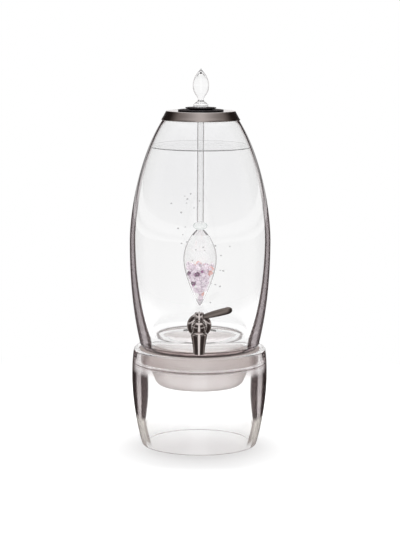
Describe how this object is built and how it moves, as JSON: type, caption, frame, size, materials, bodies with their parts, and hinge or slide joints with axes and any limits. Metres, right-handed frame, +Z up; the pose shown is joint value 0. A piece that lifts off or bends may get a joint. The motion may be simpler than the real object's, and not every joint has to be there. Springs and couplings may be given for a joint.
{
  "type": "water dispenser",
  "caption": "Glass water dispenser: egg-shaped vessel nested in a glass stand over a frosted dish, with a steel lid, a gem-filled glass stick and a quarter-turn tap.",
  "frame": {"origin": "on the floor, under the middle of the whole object's plan, which lies 13.57 mm in front of the glass axis because the tap stands out", "axes": "+Z up along the vessel's axis; the tap points towards -Y; the closed lever points towards +X"},
  "size_m": [0.2128, 0.24, 0.5717],
  "materials": {
    "clear_glass": "polished blown glass",
    "frosted_glass": "frosted",
    "clear_silicone": "matt translucent silicone",
    "polished_steel": "polished stainless steel",
    "brushed_steel": "brushed stainless steel",
    "black_silicone": "smooth black silicone",
    "clear_quartz": "tumbled chips",
    "rose_quartz": "tumbled chips",
    "amethyst": "tumbled chips"
  },
  "bodies": {
    "stand": {"stand_glass": "clear_glass"},
    "seat": {"seat_dish": "frosted_glass"},
    "vessel": {"vessel_glass": "clear_glass", "tap_outer_washer": "clear_silicone", "tap_inner_washer": "clear_silicone", "tap_lock_nut": "polished_steel", "tap_rosette": "polished_steel", "tap_body": "polished_steel", "tap_spout": "polished_steel", "bonnet_nut": "polished_steel"},
    "tap_lever": {"valve_plug": "polished_steel", "plug_o_ring_lower": "black_silicone", "plug_o_ring_upper": "black_silicone", "lever": "brushed_steel", "lever_screw": "polished_steel"},
    "lid": {"lid_shell": "brushed_steel", "lid_gasket": "clear_silicone"},
    "gem_stick": {"stopper_plug": "black_silicone", "grip_disc": "black_silicone", "finial_glass": "clear_glass", "stem_tube": "clear_glass", "stem_ball": "clear_glass", "vial_glass": "clear_glass", "gem_amethyst_04": "amethyst", "gem_amethyst_09": "amethyst", "gem_amethyst_14": "amethyst", "gem_quartz_01": "clear_quartz", "gem_quartz_03": "clear_quartz", "gem_quartz_05": "clear_quartz", "gem_quartz_06": "clear_quartz", "gem_quartz_08": "clear_quartz", "gem_quartz_10": "clear_quartz", "gem_quartz_11": "clear_quartz", "gem_quartz_13": "clear_quartz", "gem_quartz_15": "clear_quartz", "gem_quartz_16": "clear_quartz", "gem_quartz_18": "clear_quartz", "gem_rose_02": "rose_quartz", "gem_rose_07": "rose_quartz", "gem_rose_12": "rose_quartz", "gem_rose_17": "rose_quartz"}
  },
  "joints": [
    {"name": "seat_lift", "type": "slide", "parent": "stand", "child": "seat", "axis": [0, 0, 1], "range_m": [0, 0.08]},
    {"name": "vessel_lift", "type": "slide", "parent": "seat", "child": "vessel", "axis": [0, 0, 1], "range_m": [0, 0.08]},
    {"name": "lid_lift", "type": "slide", "parent": "vessel", "child": "lid", "axis": [0, 0, 1], "range_m": [0, 0.32]},
    {"name": "stick_lift", "type": "slide", "parent": "lid", "child": "gem_stick", "axis": [0, 0, 1], "range_m": [0, 0.32]},
    {"name": "lever_turn", "type": "hinge", "parent": "vessel", "child": "tap_lever", "pos_m": [0, -0.10787, 0.2004], "axis": [0, 0, 1], "range_deg": [-90, 0]}
  ]
}
